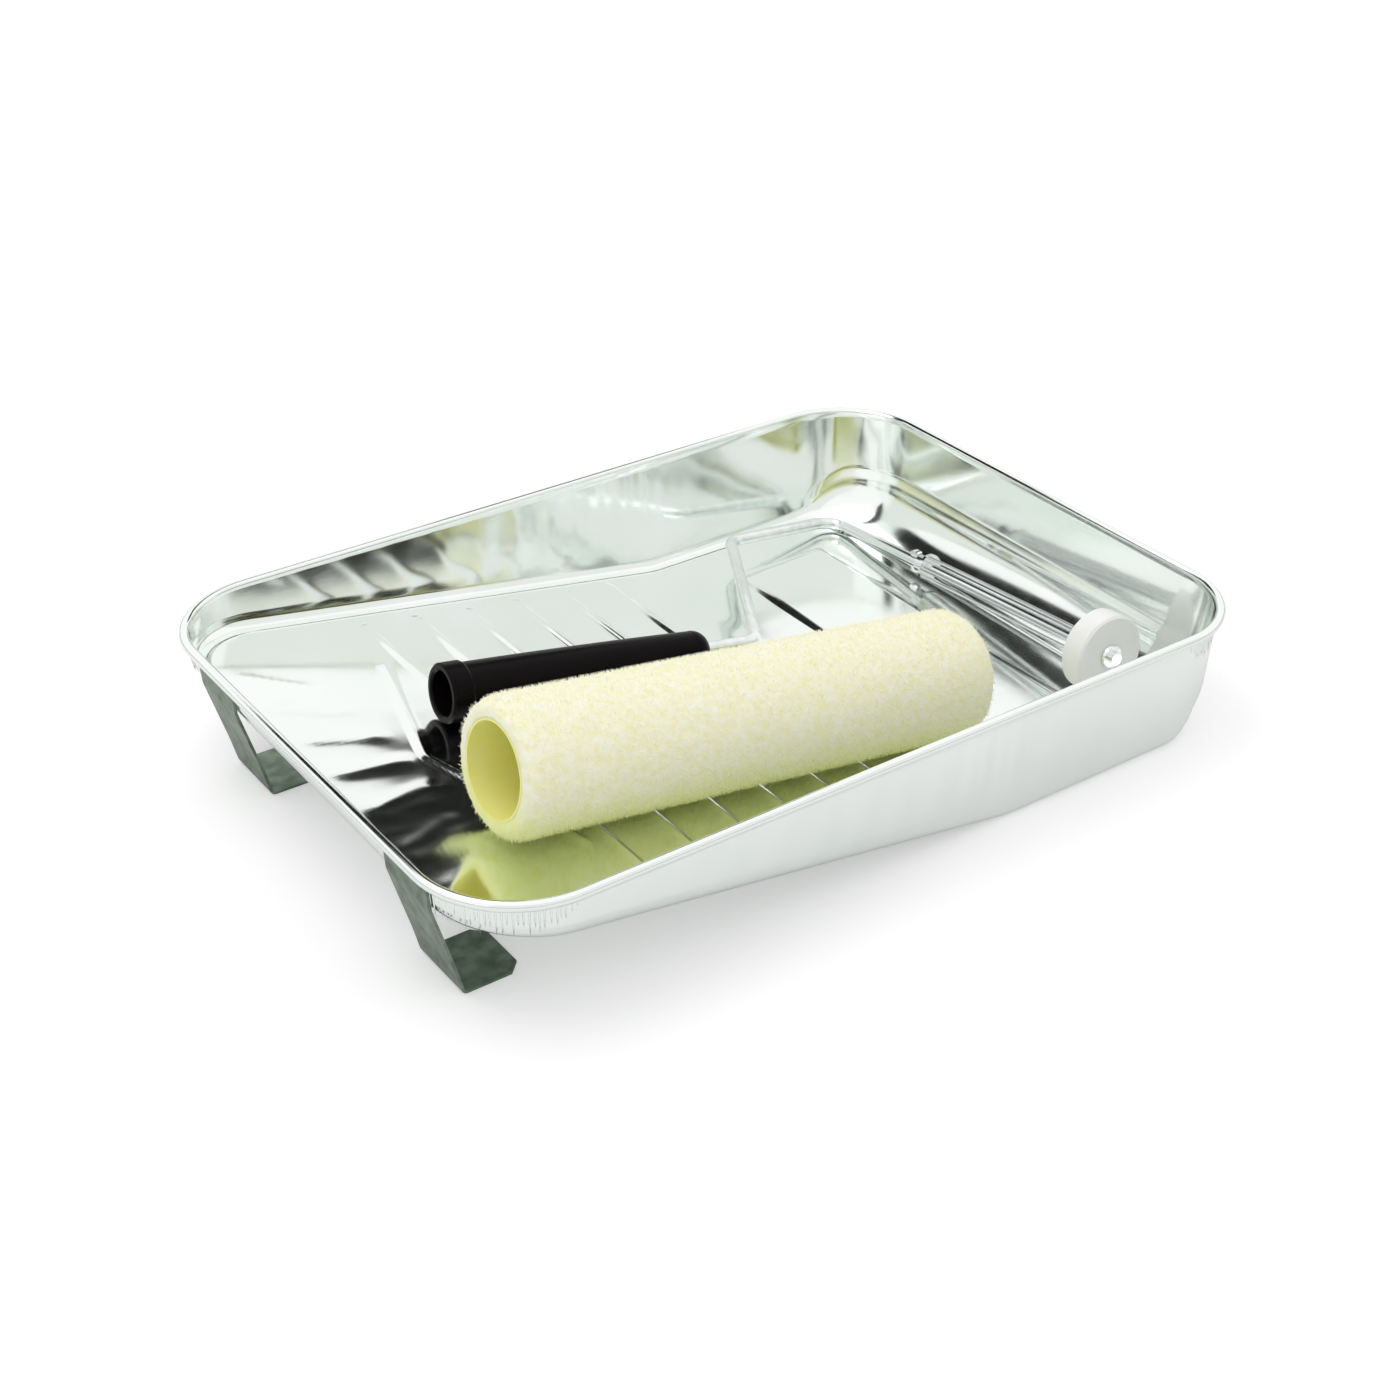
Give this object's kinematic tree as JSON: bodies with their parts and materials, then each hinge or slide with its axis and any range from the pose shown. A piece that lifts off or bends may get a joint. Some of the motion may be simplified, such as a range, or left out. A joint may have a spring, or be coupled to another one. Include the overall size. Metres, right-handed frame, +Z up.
{
  "type": "paint roller tray",
  "caption": "Shallow sheet-metal paint tray with ribbed ramp, deep well and folded leg straps, holding a bent-rod roller frame and a loose pile roller cover.",
  "frame": {"origin": "on the ground, below the middle of the tray's plan outline", "axes": "+X along the tray towards the deep end, +Y across towards the far long side, +Z up"},
  "size_m": [0.394, 0.281, 0.0926],
  "materials": {
    "bright_tinplate": "bright rolled tinplate, mirror-like with soft waves",
    "grey_steel": "grey coated steel strap",
    "black_plastic": "satin moulded black plastic",
    "plated_rod": "bright zinc-plated steel rod",
    "plated_wire": "bright plated wire",
    "white_plastic": "white moulded plastic",
    "core_board": "resin-treated yellowish board",
    "pile_fabric": "cream knitted pile"
  },
  "bodies": {
    "tray": {"tray_pan": "bright_tinplate", "leg_near": "grey_steel", "leg_far": "grey_steel"},
    "roller_frame": {"handle_grip": "black_plastic", "bent_rod": "plated_rod", "push_nut": "plated_rod"},
    "cage": {"cage_hub": "plated_wire", "cage_wire_1": "plated_wire", "cage_wire_2": "plated_wire", "cage_wire_3": "plated_wire", "cage_wire_4": "plated_wire", "cage_wire_5": "plated_wire", "end_cap": "white_plastic"},
    "roller_cover": {"cover_core": "core_board", "cover_pile": "pile_fabric"}
  },
  "joints": [
    {"name": "frame_lift", "type": "slide", "parent": "tray", "child": "roller_frame", "axis": [0, 0, 1], "range_m": [0, 0.25]},
    {"name": "cage_spin", "type": "hinge", "parent": "roller_frame", "child": "cage", "pos_m": [0.16021, 0, 0.01416], "axis": [-0.0198, -0.996, 0.0876], "continuous": true},
    {"name": "cover_lift", "type": "slide", "parent": "tray", "child": "roller_cover", "axis": [0, 0, 1], "range_m": [0, 0.25]}
  ]
}
